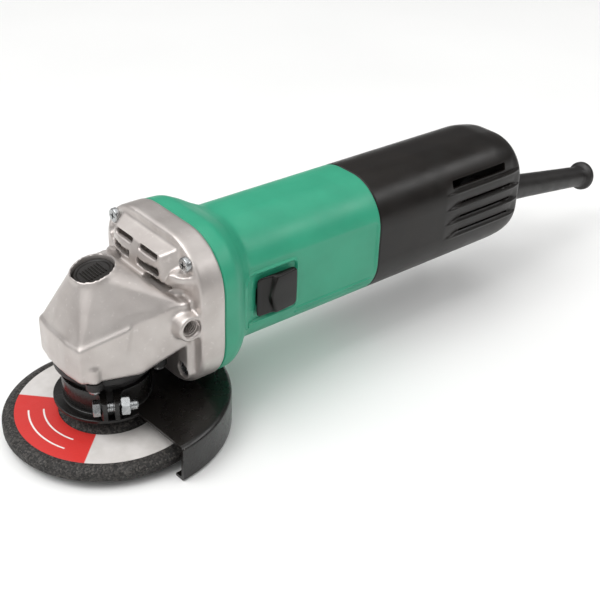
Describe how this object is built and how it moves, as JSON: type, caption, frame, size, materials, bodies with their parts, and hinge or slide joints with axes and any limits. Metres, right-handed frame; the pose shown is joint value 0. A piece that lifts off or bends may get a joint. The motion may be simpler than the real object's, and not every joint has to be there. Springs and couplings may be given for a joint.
{
  "type": "angle grinder",
  "caption": "Small corded angle grinder: die-cast bevel-gear head, depressed-centre wheel under a swivelling guard, slim motor body with side slide switch, vented tail and cord guard.",
  "frame": {"origin": "spindle axis at the wheel seat, the face of the inner flange that the wheel bears on", "axes": "+X along the motor to the tail, +Z along the spindle away from the wheel, +Y to the side opposite the slide switch"},
  "size_m": [0.406, 0.1164, 0.1],
  "materials": {
    "die_cast_aluminium": "satin die cast",
    "bright_steel": "zinc plated",
    "black_casting": "black coated casting",
    "bearing_steel": "ground",
    "bronze": "sintered",
    "felt": "felt",
    "tool_steel": "ground",
    "gear_steel": "case hardened",
    "black_steel": "black painted sheet",
    "abrasive": "resin bonded grit",
    "label_paper": "printed paper",
    "bush_steel": "pressed ring",
    "spring_steel": "drawn wire",
    "black_plastic": "moulded nylon",
    "dark_plastic": "moulded nylon",
    "fan_plastic": "moulded nylon",
    "green_plastic": "moulded glass-filled nylon",
    "lamination_steel": "stacked laminations",
    "enamelled_copper": "varnished windings",
    "commutator_copper": "turned copper",
    "carbon": "pressed carbon",
    "black_rubber": "moulded rubber",
    "capacitor_film": "film",
    "wire_insulation": "PVC"
  },
  "bodies": {
    "housing": {"gear_housing": "die_cast_aluminium", "gearcase_screws": "bright_steel", "bearing_cover": "black_casting", "cover_screws": "bright_steel", "spindle_bearing_outer": "bearing_steel", "spindle_bearing_balls": "bearing_steel", "upper_bush": "bronze", "spindle_seal": "felt", "bearing_plate": "die_cast_aluminium", "front_bearing_outer": "bearing_steel", "front_bearing_balls": "bearing_steel", "rear_bearing_outer": "bearing_steel", "rear_bearing_balls": "bearing_steel", "bearing_sleeve": "black_rubber", "motor_housing": "green_plastic", "fan_baffle": "dark_plastic", "stator_core": "lamination_steel", "field_coils": "enamelled_copper", "stator_screws": "bright_steel", "brush_holders": "bronze", "carbon_brushes": "carbon", "brush_springs": "spring_steel", "switch_unit": "dark_plastic", "capacitor": "capacitor_film", "lead_wires": "wire_insulation", "tail_cover": "black_plastic", "tail_screw": "bright_steel", "cord_guard": "black_rubber", "cord_clamp": "dark_plastic", "cord_clamp_screws": "bright_steel", "lock_spring": "spring_steel"},
    "spindle": {"spindle": "tool_steel", "bevel_gear": "gear_steel", "gear_key": "tool_steel", "gear_circlip": "gear_steel", "spindle_bearing_inner": "bearing_steel", "inner_flange": "black_steel", "wheel_bush": "bush_steel", "grinding_wheel": "abrasive", "wheel_label": "label_paper", "lock_nut": "black_steel"},
    "armature": {"armature_shaft": "tool_steel", "pinion": "gear_steel", "pinion_nut": "bright_steel", "armature_core": "lamination_steel", "armature_windings": "enamelled_copper", "commutator": "commutator_copper", "cooling_fan": "fan_plastic", "front_bearing_inner": "bearing_steel", "rear_bearing_inner": "bearing_steel"},
    "guard": {"wheel_guard": "black_steel", "guard_band": "black_steel", "guard_clamp_screw": "bright_steel", "guard_clamp_nut": "bright_steel"},
    "slide_bar": {"slide_bar": "tool_steel", "knob_pin": "tool_steel"},
    "switch_knob": {"switch_knob": "black_plastic"},
    "lock_button": {"lock_button": "black_plastic", "lock_pin": "tool_steel"}
  },
  "joints": [
    {"name": "spindle_spin", "type": "hinge", "parent": "housing", "child": "spindle", "pos_m": [0, 0, 0], "axis": [0, 0, 1], "continuous": true},
    {"name": "armature_spin", "type": "hinge", "parent": "housing", "child": "armature", "pos_m": [0.1, 0, 0.046], "axis": [1, 0, 0], "continuous": true},
    {"name": "guard_turn", "type": "hinge", "parent": "housing", "child": "guard", "pos_m": [0, 0, 0.0126], "axis": [0, 0, 1], "range_deg": [-150, 55]},
    {"name": "switch_slide", "type": "slide", "parent": "housing", "child": "slide_bar", "axis": [-1, 0, 0], "range_m": [0, 0.006], "stiffness_N_per_m": 600, "springref_m": -0.004},
    {"name": "switch_rock", "type": "hinge", "parent": "slide_bar", "child": "switch_knob", "pos_m": [0.0775, -0.0265, 0.0445], "axis": [0, 0, -1], "range_deg": [0, 3], "stiffness_Nm_per_rad": 0.4, "springref_deg": -2.86},
    {"name": "lock_press", "type": "slide", "parent": "housing", "child": "lock_button", "axis": [0, 0, -1], "range_m": [0, 0.004], "stiffness_N_per_m": 700, "springref_m": -0.003, "deforming": ["lock_spring"]}
  ],
  "couplings": [
    {"joint": "armature_spin", "follows": "spindle_spin", "ratio": 3.7}
  ]
}
